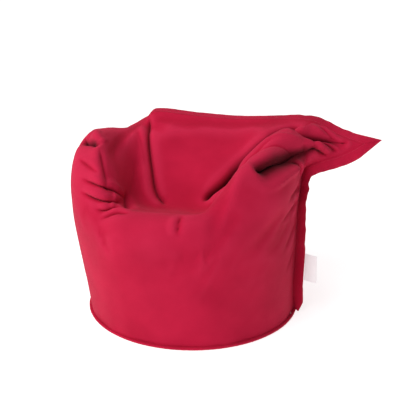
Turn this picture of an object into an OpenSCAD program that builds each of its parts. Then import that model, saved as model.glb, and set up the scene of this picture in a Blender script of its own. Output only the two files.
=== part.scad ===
// Bean bag chair: a sewn cloth bag with a round base and a straight top seam.
// The seat is pressed into the front panel. The filled corners form the two arms,
// and the right-hand corner of the top seam stands out as an ear.
// The origin is the centre of the base on the floor; -Y is the front, +Z is up.

/* [Bag] */
// Diameter of the filled bag across its wall
bag_d = 800; // [700:10:900]
// Thickness of the cover cloth
cloth_t = 1.2; // [0.8:0.1:1.6]
// Width of the doubled cloth flange outside the side and top seams
flange_w = 40; // [30:1:45]
// Diameter of the piping round the base
piping_d = 8; // [6:0.5:9]
// Diameter of the cord inside the piping
piping_cord_d = 5; // [3:0.5:5]

/* [Label] */
// How far the label stands out of the flange
label_w = 45; // [30:1:60]
// Height of the label
label_h = 98; // [60:1:100]
// Thickness of the folded label tape
label_t = 1; // [0.8:0.1:1.2]

/* [Zips] */
// Length of the zip in the base of the cover
zip_len = 560; // [300:10:560]
// Distance of that zip behind the centre of the base
zip_y = 120; // [100:5:130]
// Length of the zip in the base of the liner
liner_zip_len = 300; // [200:10:400]

/* [Hidden] */
$fn = 96;

cover_red = [0.74, 0.09, 0.20];
liner_white = [0.93, 0.93, 0.91];
zip_black = [0.08, 0.08, 0.09];
label_white = [0.95, 0.95, 0.97];
bead_white = [0.98, 0.98, 0.98];
metal_grey = [0.62, 0.63, 0.65];

// The shape is drawn for a bag 800 mm across and scaled to bag_d.
k = bag_d / 800;

// ---- Shape of the filled bag ----
// Rings of the wall, bottom to top: height, radius, lean to the left, radius at the back.
wall_rings = [[8, 361, 0, 361], [110, 366, -9, 390], [240, 378, -18, 422], [365, 387, -25, 440]];
// Angles of the front panel's columns, from the left side seam round the front to the right one.
column_angles = [180, 198, 216, 234, 243, 252, 270, 288, 297, 306, 324, 342, 360];
// Each front column above the wall: over the rim or arm, into the seat, up to the top seam.
upper_points = [
    [[-414, 55, 428], [-428, 105, 468], [-434, 155, 472], [-440, 195, 456], [-450, 228, 428]],
    [[-394, -95, 480], [-386, -50, 560], [-378, 50, 588], [-395, 130, 548], [-402, 215, 478]],
    [[-350, -215, 470], [-342, -175, 560], [-325, -70, 608], [-315, 60, 600], [-330, 170, 548]],
    [[-240, -292, 425], [-235, -255, 500], [-268, -150, 600], [-268, 0, 606], [-252, 130, 596]],
    [[-178, -300, 428], [-178, -225, 420], [-185, -130, 450], [-200, 10, 560], [-205, 124, 621]],
    [[-125, -315, 428], [-120, -230, 402], [-120, -135, 405], [-138, 0, 535], [-165, 121, 653]],
    [[-8, -330, 430], [-5, -235, 402], [-5, -130, 395], [-5, 0, 520], [-10, 123, 645]],
    [[105, -322, 440], [95, -235, 410], [90, -135, 405], [105, -10, 520], [115, 125, 641]],
    [[158, -302, 452], [160, -235, 500], [150, -120, 440], [165, 0, 540], [185, 126, 644]],
    [[205, -285, 490], [212, -205, 575], [200, -95, 520], [222, 15, 590], [252, 128, 648]],
    [[308, -215, 480], [295, -150, 602], [275, -50, 585], [310, 40, 625], [377, 130, 648]],
    [[358, -100, 470], [362, -60, 555], [395, 10, 598], [428, 70, 612], [458, 122, 612]],
    [[366, 15, 440], [372, 35, 505], [420, 60, 530], [490, 88, 552], [552, 112, 583]]
];
last_col = len(column_angles) - 1;
last_row = len(wall_rings) + len(upper_points[0]) - 1;

// Fine grid steps to each step of the cage above
steps = 3;
cols = last_col * steps;
rows = last_row * steps;

function unit(v) = v / norm(v);
function end_point(p, i) =
    i < 0 ? 2 * p[0] - p[1] : i >= len(p) ? 2 * p[len(p) - 1] - p[len(p) - 2] : p[i];
// Smooth curve through the points of p, at t from 0 to len(p) - 1
function spline(p, t) =
    let (i = min(floor(t), len(p) - 2), f = t - i)
    let (a = end_point(p, i - 1), b = p[i], c = p[i + 1], d = end_point(p, i + 2))
    0.5 * (2 * b + (c - a) * f + (2 * a - 5 * b + 4 * c - d) * f * f
        + (3 * b - a - 3 * c + d) * f * f * f);

function wall_point(ring, angle) =
    let (w = wall_rings[ring], bulge = pow(max(0, sin(angle)), 1.5))
    let (r = w[1] + (w[3] - w[1]) * bulge)
    [r * cos(angle) + w[2], r * sin(angle), w[0]];
function wall_column(angle) = [for (ring = [0:len(wall_rings) - 1]) wall_point(ring, angle)];

// Shoulder of the back panel: it leaves the wall upwards and runs in to the top seam.
function shoulder(angle, seam, t) =
    let (wall = wall_point(3, angle), rise = 250 + 170 * pow(sin(angle), 2))
    let (inward = [80 * cos(angle), -380 * pow(sin(angle), 1.5), 110])
    (1 + 2 * t) * pow(1 - t, 2) * wall + t * pow(1 - t, 2) * [0, 0, rise]
        + t * t * (3 - 2 * t) * seam + t * t * (t - 1) * inward;
function back_column(col) =
    let (angle = 360 - column_angles[col], seam = upper_points[col][4])
    concat(wall_column(angle), [for (t = [0.2:0.2:0.81]) shoulder(angle, seam, t)], [seam]);

front_cage = [for (c = [0:last_col]) concat(wall_column(column_angles[c]), upper_points[c])];
back_cage = concat([front_cage[last_col]], [for (c = [last_col - 1:-1:1]) back_column(c)],
    [front_cage[0]]);

function fine_grid(cage) =
    let (tall = [for (c = cage) [for (v = [0:rows]) spline(c, v / steps)]])
    [for (u = [0:cols]) [for (v = [0:rows]) k * spline([for (c = tall) c[v]], u / steps)]];
front_grid = fine_grid(front_cage);
back_grid = fine_grid(back_cage);

// ---- Layers of cloth, as offsets of that shape ----
function face_normal(g, i, j) =
    unit(cross(g[min(i + 1, cols)][j] - g[max(i - 1, 0)][j],
        g[i][min(j + 1, rows)] - g[i][max(j - 1, 0)]));
fill_depth = 5.5;
// A point of the layer that lies depth inside the shape, or outside it if depth is negative.
// Where the two panels come close, as in the ears, the layers come closer together too.
function panel_point(g, other, i, j, depth) =
    let (gap = norm(g[i][j] - other[cols - i][j]), room = min(1, 0.3 * gap / fill_depth))
    g[i][j] - face_normal(g, i, j) * (depth > 0 ? depth * room : depth);
// The same on a seam, where the two panels meet at an edge.
function seam_point(g, other, i, j, depth) =
    let (m = cols - i, mean = (face_normal(g, i, j) + face_normal(other, m, j)) / 2)
    let (sharp = max(0.4, norm(mean)))
    let (ni = i == 0 ? 1 : i == cols ? cols - 1 : i, nj = j == rows ? rows - 1 : j)
    let (inside = (g[ni][nj] + other[cols - ni][nj]) / 2 - g[i][j])
    depth > 0 ? g[i][j] + inside * 0.5 * depth / fill_depth - mean * depth
        : g[i][j] - mean * depth / (sharp * sharp);
function layer_point(g, other, i, j, depth) =
    (i == 0 || i == cols || j == rows) ? seam_point(g, other, i, j, depth)
        : panel_point(g, other, i, j, depth);
function layer(g, other, depth) =
    [for (i = [0:cols]) [for (j = [0:rows]) layer_point(g, other, i, j, depth)]];

function flat(list) = [for (part = list) each part];
// Two triangles for the four corners of a quad, clockwise from outside
function halves(q) = [[q[0], q[1], q[2]], [q[0], q[2], q[3]]];

// One panel of cloth between its inner face and its outer face
module panel(g, other) {
    outer = layer(g, other, -cloth_t);
    size = (cols + 1) * (rows + 1);
    function o(i, j) = i * (rows + 1) + j;
    function n(i, j) = size + o(i, j);
    skin = [for (i = [0:cols - 1]) for (j = [0:rows - 1]) concat(
        halves([o(i, j), o(i, j + 1), o(i + 1, j + 1), o(i + 1, j)]),
        halves([n(i, j), n(i + 1, j), n(i + 1, j + 1), n(i, j + 1)]))];
    side_edges = [for (j = [0:rows - 1]) concat(
        halves([o(0, j + 1), o(0, j), n(0, j), n(0, j + 1)]),
        halves([o(cols, j + 1), n(cols, j + 1), n(cols, j), o(cols, j)]))];
    // Both panels split the seam's faces along the same diagonals, so that they meet exactly.
    function top(i) = i < cols / 2 ? [o(i + 1, rows), o(i, rows), n(i, rows), n(i + 1, rows)]
        : [o(i, rows), n(i, rows), n(i + 1, rows), o(i + 1, rows)];
    ends = [for (i = [0:cols - 1]) concat(
        halves([o(i, 0), o(i + 1, 0), n(i + 1, 0), n(i, 0)]), halves(top(i)))];
    polyhedron(concat(flat(outer), flat(g)), concat(flat(skin), flat(side_edges), flat(ends)));
}

// A whole bag at one depth is a ring of columns, with its two top edges sewn into one.
ring = 2 * cols;
liner_floor = 9.4;
function on_floor(p, j) = j == 0 ? [p[0], p[1], liner_floor] : p;
function bag_points(depth) =
    let (f = layer(front_grid, back_grid, depth), b = layer(back_grid, front_grid, depth))
    concat(
        [for (r = [0:ring - 1]) for (j = [0:rows - 1])
            on_floor(r <= cols ? f[r][j] : b[r - cols][j], j)],
        [for (r = [0:cols]) f[r][rows]]);
function bag_index(r, j) =
    let (c = r % ring) j < rows ? c * rows + j : ring * rows + (c <= cols ? c : ring - c);
function bag_skin() =
    flat([for (r = [0:ring - 1]) for (j = [0:rows - 1]) halves(
        [bag_index(r, j), bag_index(r, j + 1), bag_index(r + 1, j + 1), bag_index(r + 1, j)])]);
function reversed(list) = [for (f = [len(list) - 1:-1:0]) list[f]];
function shifted(faces, by, turn) =
    [for (f = faces) turn ? [f[2] + by, f[1] + by, f[0] + by] : f + [by, by, by]];

module liner_bag() {
    outer = bag_points(2.5);
    inner = bag_points(4);
    size = len(outer);
    hem = [for (r = [0:ring - 1]) halves([bag_index(r, 0), bag_index(r + 1, 0),
        size + bag_index(r + 1, 0), size + bag_index(r, 0)])];
    color(liner_white)
        polyhedron(concat(outer, inner), concat(bag_skin(), shifted(bag_skin(), size, true), flat(hem)));
}

module bead_fill() {
    points = bag_points(fill_depth);
    middle = len(points);
    underside = [for (r = [0:ring - 1]) [bag_index(r, 0), bag_index(r + 1, 0), middle]];
    color(bead_white)
        polyhedron(concat(points, [[0, 0, liner_floor]]), reversed(concat(bag_skin(), underside)));
}

module front_panel() {
    color(cover_red) panel(front_grid, back_grid);
}

module back_panel() {
    color(cover_red) panel(back_grid, front_grid);
}

// ---- Flanges: the two panels' edges, doubled and top-stitched ----
// Which way the right flange points at each row of the cage, base to ear tip
right_flange_dirs = [[0.9, -0.42, 0], [0.9, -0.42, 0], [0.88, -0.46, 0], [0.75, -0.66, 0],
    [0.72, -0.68, -0.1], [0.65, -0.58, -0.45], [0.5, -0.4, -0.77], [0.5, -0.4, -0.77],
    [0.5, -0.4, -0.77]];
left_flange_dirs = [[-0.45, 0.89, 0], [-0.45, 0.89, 0], [-0.45, 0.89, 0], [-0.55, 0.82, 0],
    [-0.83, -0.1, 0.55], [-0.83, -0.1, 0.55], [-0.9, -0.1, 0.4], [-0.96, -0.2, 0.2],
    [-0.9, 0, -0.3]];
// Which way the top flange points at each column; between the ears it lies back on the shoulder
top_flange_dirs = [[0.2, 0.95, -0.1], [0.2, 0.95, -0.05], [0.1, 0.97, 0.1], [0, 0.97, 0.08],
    [0, 0.97, 0.2], [0, 0.97, 0.12], [0, 0.97, 0.1], [0, 0.97, 0.1], [0, 0.97, 0.08],
    [0, 0.96, 0.1], [0.15, 0.93, 0.25], [0.3, 0.85, 0.4], [0.3, 0.85, 0.4]];
// Mitred corners of the flange, from the ears' tips
right_corner = [66, 20, 14];
left_corner = [-42, 40, -28];
seam_gap = 6;
flange_t = 2 * cloth_t;
flange_bottom = 16;

// A strip of cloth between two lists of points
module strip(inner, outer, thick) {
    last = len(inner) - 1;
    function across(s) =
        unit(cross(inner[min(s + 1, last)] - inner[max(s - 1, 0)], outer[s] - inner[s])) * thick / 2;
    points = [for (s = [0:last])
        each [inner[s] + across(s), outer[s] + across(s), outer[s] - across(s), inner[s] - across(s)]];
    sides = [for (s = [0:last - 1]) for (e = [0:3]) halves(
        [4 * s + e, 4 * s + (e + 1) % 4, 4 * s + 4 + (e + 1) % 4, 4 * s + 4 + e])];
    ends = concat(halves([0, 3, 2, 1]), halves([4 * last, 4 * last + 1, 4 * last + 2, 4 * last + 3]));
    polyhedron(points, concat(flat(sides), ends));
}

// The side seam i with its flange, from just above the base to the ear's tip
module side_flange(i, dirs, corner) {
    seam = [for (j = [0:rows]) front_grid[i][j] + (j == 0 ? [0, 0, flange_bottom - front_grid[i][0][2]] : [0, 0, 0])];
    dir = [for (j = [0:rows]) j == rows ? unit(corner) : unit(spline(dirs, j / steps))];
    reach = [for (j = [0:rows]) j == rows ? norm(corner) * flange_w / 40 : flange_w];
    strip([for (j = [0:rows]) seam[j] + dir[j] * seam_gap],
        [for (j = [0:rows]) seam[j] + dir[j] * reach[j]], flange_t);
}

module right_flange() {
    color(cover_red) side_flange(cols, right_flange_dirs, right_corner);
}

module left_flange() {
    color(cover_red) side_flange(0, left_flange_dirs, left_corner);
}

module top_flange() {
    tip_gap = 3;
    function corner(i) = i == 0 ? left_corner : right_corner;
    function dir(i) = (i == 0 || i == cols) ? unit(corner(i)) : unit(spline(top_flange_dirs, i / steps));
    function reach(i) = (i == 0 || i == cols) ? norm(corner(i)) * flange_w / 40 : flange_w;
    // The two flanges meet at the corner, so this one starts just past it.
    function start(i) = front_grid[i][rows] + (i == 0 ? [tip_gap, tip_gap, 0] : i == cols ? [-tip_gap, tip_gap, tip_gap] : [0, 0, 0]);
    color(cover_red) strip([for (i = [0:cols]) start(i) + dir(i) * seam_gap],
        [for (i = [0:cols]) start(i) + dir(i) * reach(i)], flange_t);
}

// ---- Base: two panels with the zip between them, and the piping round it ----
base_r = wall_rings[0][1] * k;
rim_r = 15;
base_t = 1.5;
hem_t = 1.5;
slot_w = 12;
hem_w = 14;
base_inset = 15;
// The cover's zip never runs past the flat part of the base.
zip_room = 2 * sqrt(pow(base_r - base_inset - rim_r, 2) - pow(zip_y + hem_w, 2)) - 20;
zip_length = min(zip_len, zip_room);

// Turned section of the base: flat, with a rim that curls up to the seam
module base_dish() {
    flat_r = base_r - base_inset;
    rotate_extrude($fn = 180)
        polygon(concat([[0, 0]],
            [for (a = [-90:10:-30]) [flat_r + rim_r * cos(a), rim_r + rim_r * sin(a)]],
            [for (a = [-30:-10:-90]) [flat_r + (rim_r - base_t) * cos(a), rim_r + (rim_r - base_t) * sin(a)]],
            [[0, base_t]]));
}

// One part of the base, with its hem beside the zip; side is -1 in front of the zip, 1 behind it
module base_part(side) {
    slot = slot_w / 2;
    reach = base_r + 10;
    union() {
        difference() {
            base_dish();
            translate([-reach, side > 0 ? zip_y - 2 * reach : zip_y, -5]) cube([2 * reach, 2 * reach, 60]);
            translate([-zip_length / 2 - 4, zip_y - slot, -5]) cube([zip_length + 8, slot_w, 60]);
        }
        translate([-zip_length / 2, side > 0 ? zip_y + slot : zip_y - slot - hem_w, base_t])
            cube([zip_length, hem_w, hem_t]);
    }
}

module base_front() {
    color(cover_red) base_part(-1);
}

module base_rear() {
    color(cover_red) base_part(1);
}

piping_ring_r = base_r + cloth_t + piping_d * 0.45 + 0.8;
piping_z = piping_d / 2 + 1;

module piping_cover() {
    color(cover_red)
        rotate_extrude($fn = 180) translate([piping_ring_r, piping_z]) difference() {
            circle(d = piping_d, $fn = 24);
            circle(d = piping_cord_d, $fn = 24);
        }
}

module piping_cord() {
    color(liner_white)
        rotate_extrude($fn = 180) translate([piping_ring_r, piping_z]) circle(d = piping_cord_d, $fn = 24);
}

// ---- Side label, sewn into the outer edge of the right flange ----
label_z = 128 * k;
label_gap = 1.2;
label_angle = atan2(right_flange_dirs[1][1], right_flange_dirs[1][0]);
label_seam = front_grid[cols][round(1.5 * steps)];
label_reach = flange_w + label_gap + 0.6;

module side_label() {
    color(label_white)
        translate([label_seam[0], label_seam[1], label_z]) rotate([0, 0, label_angle])
            translate([label_reach, 0, 0]) {
                cylinder(d = label_t, h = label_h);
                translate([0, -label_t / 2, 0]) cube([label_w, label_t, label_h]);
            }
}

// ---- Zips ----
coil_r = 1.2;
coil_half_gap = 0.9;
tape_t = 0.6;
tape_w = 15;
tape_z = base_t + hem_t;
coil_z = tape_z + tape_t + coil_r;
slider_l = 12;
slider_w = 9;
bridge_w = 1.4;
bridge_l = 4;
stop_l = 2.8;
pin_r = 0.5;
eye_r = 1;
pin_z = 1.1;
pull_l = 24;
pull_w = 6;
slider_x = zip_length / 2 - slider_l / 2 - 2;

// A woven tape beside the zip's centre line, its coil, and the stops at both ends
module tape(side, y, z, length) {
    translate([-length / 2 - 8, side > 0 ? y + coil_half_gap : y - coil_half_gap - tape_w, z])
        cube([length + 16, tape_w, tape_t]);
}

module coil(side, y, z, length) {
    translate([-length / 2, y + side * (coil_half_gap + coil_r), z]) rotate([0, 90, 0])
        cylinder(r = coil_r, h = length, $fn = 24);
}

module stops(y, z, length) {
    for (side = [-1, 1])
        translate([side * (length / 2 + 0.2 + stop_l / 2), y, z]) cube([stop_l, 6, 2 * coil_r], center = true);
}

// Two plates, above and below the coils, joined by a bridge between them
module slider_body(y, low, high, plate_t) {
    for (z = [low, high])
        translate([-slider_l / 2, y - slider_w / 2, z]) cube([slider_l, slider_w, plate_t]);
    translate([-bridge_l / 2, y - bridge_w / 2, low]) cube([bridge_l, bridge_w, high - low]);
}

module zip_tape_front() {
    color(zip_black) tape(-1, zip_y, tape_z, zip_length);
}

module zip_tape_rear() {
    color(zip_black) tape(1, zip_y, tape_z, zip_length);
}

module zip_coil_front() {
    color(zip_black) coil(-1, zip_y, coil_z, zip_length);
}

module zip_coil_rear() {
    color(zip_black) coil(1, zip_y, coil_z, zip_length);
}

module zip_stops() {
    color(metal_grey) stops(zip_y, coil_z, zip_length);
}

module zip_slider() {
    plate_t = 0.7;
    low = tape_z - 0.1 - plate_t;
    cheek_t = 0.8;
    cheek_y = 1.6;
    color(metal_grey) translate([slider_x, 0, 0]) {
        slider_body(zip_y, low, coil_z + coil_r + 0.1, plate_t);
        for (side = [-1, 1])
            translate([-1.6, zip_y + side * (cheek_y + cheek_t / 2) - cheek_t / 2, pin_z - 0.6])
                cube([3.2, cheek_t, low - pin_z + 0.7]);
        translate([0, zip_y + cheek_y + 0.2, pin_z]) rotate([90, 0, 0])
            cylinder(r = pin_r, h = 2 * cheek_y + 0.4, $fn = 24);
    }
}

module zip_pull() {
    tab_t = 1;
    color(metal_grey) translate([slider_x, zip_y, pin_z]) difference() {
        union() {
            translate([0, 1.4, 0]) rotate([90, 0, 0]) cylinder(r = eye_r, h = 2.8, $fn = 32);
            translate([-4, -1.4, -tab_t / 2]) cube([4, 2.8, tab_t]);
            translate([-pull_l + pull_w / 2, -pull_w / 2, -tab_t / 2]) cube([pull_l - pull_w / 2 - 3, pull_w, tab_t]);
            translate([-pull_l + pull_w / 2, 0, -tab_t / 2]) cylinder(d = pull_w, h = tab_t, $fn = 32);
        }
        translate([0, 5, 0]) rotate([90, 0, 0]) cylinder(r = pin_r + 0.08, h = 10, $fn = 24);
        translate([-pull_l + pull_w / 2, 0, -5]) cylinder(d = 3, h = 10, $fn = 32);
    }
}

// ---- Liner: an inner bag of thin cloth that holds the beads ----
liner_t = 1.4;
liner_zip_y = -100;
liner_slot_w = 10;
liner_base_z = liner_floor - liner_t;
liner_tape_z = liner_base_z - tape_t;
liner_coil_z = liner_tape_z - coil_r;

module liner_base() {
    color(liner_white) difference() {
        translate([0, 0, liner_base_z]) cylinder(r = base_r - 6, h = liner_t, $fn = 180);
        translate([-liner_zip_len / 2 - 4, liner_zip_y - liner_slot_w / 2, 0])
            cube([liner_zip_len + 8, liner_slot_w, 20]);
    }
}

module liner_zip_tape_front() {
    color(liner_white) tape(-1, liner_zip_y, liner_tape_z, liner_zip_len);
}

module liner_zip_tape_rear() {
    color(liner_white) tape(1, liner_zip_y, liner_tape_z, liner_zip_len);
}

module liner_zip_coil_front() {
    color(liner_white) coil(-1, liner_zip_y, liner_coil_z, liner_zip_len);
}

module liner_zip_coil_rear() {
    color(liner_white) coil(1, liner_zip_y, liner_coil_z, liner_zip_len);
}

module liner_zip_stops() {
    color(metal_grey) stops(liner_zip_y, liner_coil_z, liner_zip_len);
}

// A locking slider with no pull
module liner_zip_slider() {
    plate_t = 0.7;
    color(metal_grey) translate([liner_zip_len / 2 - slider_l / 2 - 2, 0, 0])
        slider_body(liner_zip_y, liner_coil_z - coil_r - 0.1 - plate_t, liner_tape_z + tape_t + 0.1, plate_t);
}

front_panel();
back_panel();
base_front();
base_rear();
piping_cover();
piping_cord();
right_flange();
top_flange();
left_flange();
side_label();
zip_tape_front();
zip_tape_rear();
zip_coil_front();
zip_coil_rear();
zip_stops();
zip_slider();
zip_pull();
liner_bag();
liner_base();
liner_zip_tape_front();
liner_zip_tape_rear();
liner_zip_coil_front();
liner_zip_coil_rear();
liner_zip_stops();
liner_zip_slider();
bead_fill();
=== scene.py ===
"""Bean bag chair: its looks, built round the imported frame."""

import math

import bpy
import numpy as np
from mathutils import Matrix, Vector
from mathutils.bvhtree import BVHTree
from mathutils.kdtree import KDTree


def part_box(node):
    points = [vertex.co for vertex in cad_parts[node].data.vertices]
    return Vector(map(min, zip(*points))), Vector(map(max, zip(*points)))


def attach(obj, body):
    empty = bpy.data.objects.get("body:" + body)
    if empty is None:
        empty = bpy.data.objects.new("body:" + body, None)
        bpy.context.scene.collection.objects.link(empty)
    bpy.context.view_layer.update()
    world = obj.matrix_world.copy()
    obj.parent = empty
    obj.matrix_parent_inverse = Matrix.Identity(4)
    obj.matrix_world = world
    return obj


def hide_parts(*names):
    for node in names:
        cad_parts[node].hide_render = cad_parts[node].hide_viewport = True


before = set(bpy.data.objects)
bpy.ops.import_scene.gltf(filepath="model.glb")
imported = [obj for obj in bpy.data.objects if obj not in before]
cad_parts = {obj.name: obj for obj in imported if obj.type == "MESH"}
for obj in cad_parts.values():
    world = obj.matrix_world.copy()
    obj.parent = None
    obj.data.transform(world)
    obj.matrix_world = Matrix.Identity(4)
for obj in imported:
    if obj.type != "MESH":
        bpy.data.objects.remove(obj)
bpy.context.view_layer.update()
MM = 0.001

# ---- The filled bag's shape, as in part.scad, in millimetres ----
# Rings of the wall, bottom to top: height, radius, shift along x, radius at the back
WALL_RINGS = [(8, 361, 0, 361), (110, 366, -9, 390), (240, 378, -18, 422), (365, 387, -25, 440)]
COLUMN_ANGLES = [180, 198, 216, 234, 243, 252, 270, 288, 297, 306, 324, 342, 360]
UPPER_POINTS = [
    [(-414, 55, 428), (-428, 105, 468), (-434, 155, 472), (-440, 195, 456), (-450, 228, 428)],
    [(-394, -95, 480), (-386, -50, 560), (-378, 50, 588), (-395, 130, 548), (-402, 215, 478)],
    [(-350, -215, 470), (-342, -175, 560), (-325, -70, 608), (-315, 60, 600), (-330, 170, 548)],
    [(-240, -292, 425), (-235, -255, 500), (-268, -150, 600), (-268, 0, 606), (-252, 130, 596)],
    [(-178, -300, 428), (-178, -225, 420), (-185, -130, 450), (-200, 10, 560), (-205, 124, 621)],
    [(-125, -315, 428), (-120, -230, 402), (-120, -135, 405), (-138, 0, 535), (-165, 121, 653)],
    [(-8, -330, 430), (-5, -235, 402), (-5, -130, 395), (-5, 0, 520), (-10, 123, 645)],
    [(105, -322, 440), (95, -235, 410), (90, -135, 405), (105, -10, 520), (115, 125, 641)],
    [(158, -302, 452), (160, -235, 500), (150, -120, 440), (165, 0, 540), (185, 126, 644)],
    [(205, -285, 490), (212, -205, 575), (200, -95, 520), (222, 15, 590), (252, 128, 648)],
    [(308, -215, 480), (295, -150, 602), (275, -50, 585), (310, 40, 625), (377, 130, 648)],
    [(358, -100, 470), (362, -60, 555), (395, 10, 598), (428, 70, 612), (458, 122, 612)],
    [(366, 15, 440), (372, 35, 505), (420, 60, 530), (490, 88, 552), (552, 112, 583)],
]
LAST_COL = len(COLUMN_ANGLES) - 1
LAST_ROW = len(WALL_RINGS) + len(UPPER_POINTS[0]) - 1
STEPS = 20          # mesh cells to each step of the cage
SMOOTH_ROUNDS = 25  # takes the cage's creases out of the mesh
BROAD_ROUNDS = 90   # leaves only the panel's broad shape
NU = LAST_COL * STEPS
NV = LAST_ROW * STEPS


def wall_point(ring, angle):
    z, radius, lean, back_radius = WALL_RINGS[ring]
    bulge = max(0.0, math.sin(angle)) ** 1.5
    r = radius + (back_radius - radius) * bulge
    return np.array([r * math.cos(angle) + lean, r * math.sin(angle), z])


def shoulder(angle, seam, t):
    """The back panel's run from the wall in to the top seam."""
    wall = wall_point(3, angle)
    s = max(0.0, math.sin(angle))
    rise = np.array([0, 0, 250 + 170 * s ** 2])
    inward = np.array([80 * math.cos(angle), -380 * s ** 1.5, 110])
    return ((1 + 2 * t) * (1 - t) ** 2 * wall + t * (1 - t) ** 2 * rise
            + t * t * (3 - 2 * t) * np.array(seam) + t * t * (t - 1) * inward)


def front_column(col):
    angle = math.radians(COLUMN_ANGLES[col])
    return [wall_point(r, angle) for r in range(4)] + [np.array(p) for p in UPPER_POINTS[col]]


def back_column(col):
    angle = math.radians(360 - COLUMN_ANGLES[col])
    seam = UPPER_POINTS[col][4]
    return ([wall_point(r, angle) for r in range(4)]
            + [shoulder(angle, seam, t) for t in (0.2, 0.4, 0.6, 0.8)] + [np.array(seam)])


def spline(points, steps):
    """Smooth curve through points, along the first axis."""
    p = np.asarray(points, float)
    p = np.concatenate([[2 * p[0] - p[1]], p, [2 * p[-1] - p[-2]]])
    t = np.arange((len(p) - 3) * steps + 1) / steps
    i = np.minimum(t.astype(int), len(p) - 4)
    f = (t - i).reshape((-1,) + (1,) * (p.ndim - 1))
    a, b, c, d = p[i], p[i + 1], p[i + 2], p[i + 3]
    return 0.5 * (2 * b + (c - a) * f + (2 * a - 5 * b + 4 * c - d) * f ** 2
                  + (3 * b - a - 3 * c + d) * f ** 3)


def finer(grid, steps):
    """A grid with that many cells for each one it had, both ways."""
    tall = spline(np.swapaxes(np.array(grid), 0, 1), steps)      # rows first
    return spline(np.swapaxes(tall, 0, 1), steps)


front_cage = [front_column(c) for c in range(LAST_COL + 1)]
back_cage = ([front_cage[LAST_COL]] + [back_column(c) for c in range(LAST_COL - 1, 0, -1)]
             + [front_cage[0]])


def unit(v):
    return v / np.maximum(np.linalg.norm(v, axis=-1, keepdims=True), 1e-12)


def distances(path):
    """How far along a path each of its points lies."""
    return np.concatenate([[0], np.cumsum(np.linalg.norm(np.diff(path, axis=0), axis=1))])


def between(t, places, points):
    """Points read off at the places t, from those known at other places."""
    return np.stack([np.interp(t, places, points[:, k]) for k in range(3)], 1)


def circle(count):
    turn = np.arange(count) * 2 * math.pi / count
    return np.stack([np.cos(turn), np.sin(turn)], 1)


def eased(share):
    """A share clipped to 0..1, with a soft start and end."""
    t = np.clip(share, 0, 1)
    return t * t * (3 - 2 * t)


def bell(x):
    return np.exp(-x ** 2)


def smoothed(grid, rounds):
    """Evens out a grid; its edges stay where they are."""
    g = grid.copy()
    for _ in range(rounds):
        mid = (g[:-2, 1:-1] + g[2:, 1:-1] + g[1:-1, :-2] + g[1:-1, 2:]) / 4
        g[1:-1, 1:-1] += 0.5 * (mid - g[1:-1, 1:-1])
    return g


def normals(grid):
    du = np.gradient(grid, axis=0)
    dv = np.gradient(grid, axis=1)
    return unit(np.cross(du, dv))


# ---- Folds pressed into the cloth ----
def at(grid, u, v):
    """Point of a grid at cage column u and row v."""
    x, y = np.clip(u * STEPS, 0, NU - 1e-6), np.clip(v * STEPS, 0, NV - 1e-6)
    i, j = int(x), int(y)
    f, g = x - i, y - j
    return ((1 - f) * (1 - g) * grid[i, j] + f * (1 - g) * grid[i + 1, j]
            + (1 - f) * g * grid[i, j + 1] + f * g * grid[i + 1, j + 1])


def outwards(plain):
    """The panel's broad outward direction, without its small wrinkles."""
    return normals(smoothed(plain, BROAD_ROUNDS))


def hollow_radius(plain):
    """How far in each point can be pressed before the surface round it closes up on itself."""
    grid = smoothed(plain, BROAD_ROUNDS)
    n = normals(grid)
    bends = []
    for axis in (0, 1):
        step, turn = np.gradient(grid, axis=axis), np.gradient(n, axis=axis)
        bends.append((step * turn).sum(2) / np.maximum((step * step).sum(2), 1e-12))
    bend = smoothed(np.maximum(*bends)[..., None], 20)[..., 0]
    return 1 / np.maximum(bend, 1.0)


SEAM_CELLS = 4      # mesh cells beside a seam over which the folds come to nothing
# The share of the way to the other panel that folds may reach, and how far short of it they stay
FRONT_SHARE, BACK_SHARE = 0.6, 0.28
CLEAR = 4 * MM


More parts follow.
